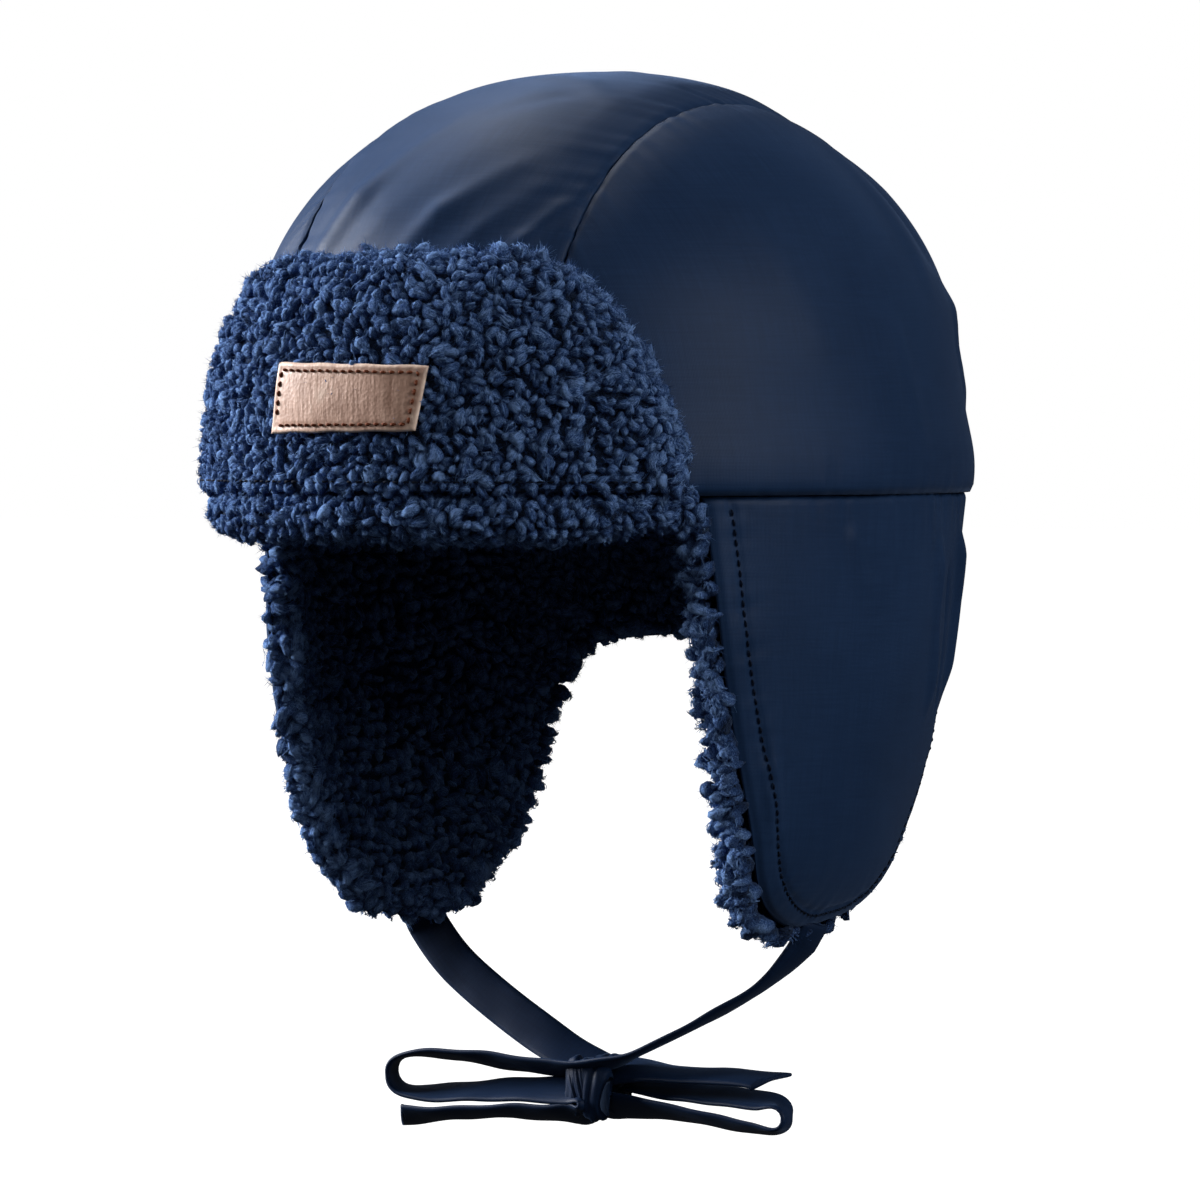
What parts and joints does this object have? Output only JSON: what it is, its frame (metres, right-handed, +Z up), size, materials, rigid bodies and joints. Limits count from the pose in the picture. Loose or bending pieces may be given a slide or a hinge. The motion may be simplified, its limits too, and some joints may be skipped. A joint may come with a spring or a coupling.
{
  "type": "trapper hat",
  "caption": "Child's trapper hat: nylon crown with sherpa lining, turned-up sherpa brim with a blank leather patch, folding ear flaps and chin ties in a bow.",
  "frame": {"origin": "centre of the head opening, at the seam between the crown and the ear flap panels", "axes": "+Z up to the top of the crown, -Y to the front (the brim), +X to the wearer's left"},
  "size_m": [0.1617, 0.2121, 0.2529],
  "materials": {
    "shell_nylon": "fine woven nylon, soft sheen",
    "sherpa": "curly sherpa pile, matte",
    "navy_thread": "spun polyester thread",
    "tie_nylon": "folded nylon strip, soft sheen",
    "leather_patch": "smooth imitation leather, satin",
    "patch_thread": "brown thread",
    "elastic": "braided elastic"
  },
  "bodies": {
    "crown": {"crown_centre_panel": "shell_nylon", "crown_side_panel_left": "shell_nylon", "crown_side_panel_right": "shell_nylon", "crown_lining_centre": "sherpa", "crown_lining_left": "sherpa", "crown_lining_right": "sherpa", "crown_seam_left": "navy_thread", "crown_seam_right": "navy_thread", "waist_seam": "navy_thread", "nape_panel": "shell_nylon", "nape_lining": "sherpa", "nape_elastic": "elastic", "nape_topstitch": "navy_thread", "front_roll": "sherpa"},
    "brim": {"brim_backing": "shell_nylon", "brim_facing": "sherpa", "brim_foot_stitching": "navy_thread", "label_patch": "leather_patch", "label_stitching": "patch_thread"},
    "ear_flap_left": {"ear_flap_shell_left": "shell_nylon", "ear_flap_lining_left": "sherpa", "ear_flap_topstitch_left": "navy_thread", "tie_tab_left": "tie_nylon"},
    "ear_flap_right": {"ear_flap_shell_right": "shell_nylon", "ear_flap_lining_right": "sherpa", "ear_flap_topstitch_right": "navy_thread", "tie_tab_right": "tie_nylon"},
    "tie_left": {"tie_left": "tie_nylon", "bow_knot_left": "tie_nylon"},
    "tie_right": {"tie_right": "tie_nylon", "bow_knot_right": "tie_nylon"}
  },
  "joints": [
    {"name": "brim_fold", "type": "hinge", "parent": "crown", "child": "brim", "pos_m": [0, -0.1105, 0.0002], "axis": [1, 0, 0], "range_deg": [0, 50]},
    {"name": "ear_flap_left_lift", "type": "hinge", "parent": "crown", "child": "ear_flap_left", "pos_m": [0.0806, 0, -0.00815], "axis": [0, -1, 0], "range_deg": [0, 140]},
    {"name": "tie_left_swing", "type": "hinge", "parent": "ear_flap_left", "child": "tie_left", "pos_m": [0.053, 0.003, -0.106], "axis": [0, -1, 0], "range_deg": [-80, 5]},
    {"name": "ear_flap_right_lift", "type": "hinge", "parent": "crown", "child": "ear_flap_right", "pos_m": [-0.0806, 0, -0.00815], "axis": [0, 1, 0], "range_deg": [0, 140]},
    {"name": "tie_right_swing", "type": "hinge", "parent": "ear_flap_right", "child": "tie_right", "pos_m": [-0.053, 0.003, -0.106], "axis": [0, 1, 0], "range_deg": [-80, 5]}
  ],
  "couplings": [
    {"joint": "tie_left_swing", "follows": "ear_flap_left_lift", "ratio": -0.55},
    {"joint": "tie_right_swing", "follows": "ear_flap_right_lift", "ratio": -0.55}
  ]
}
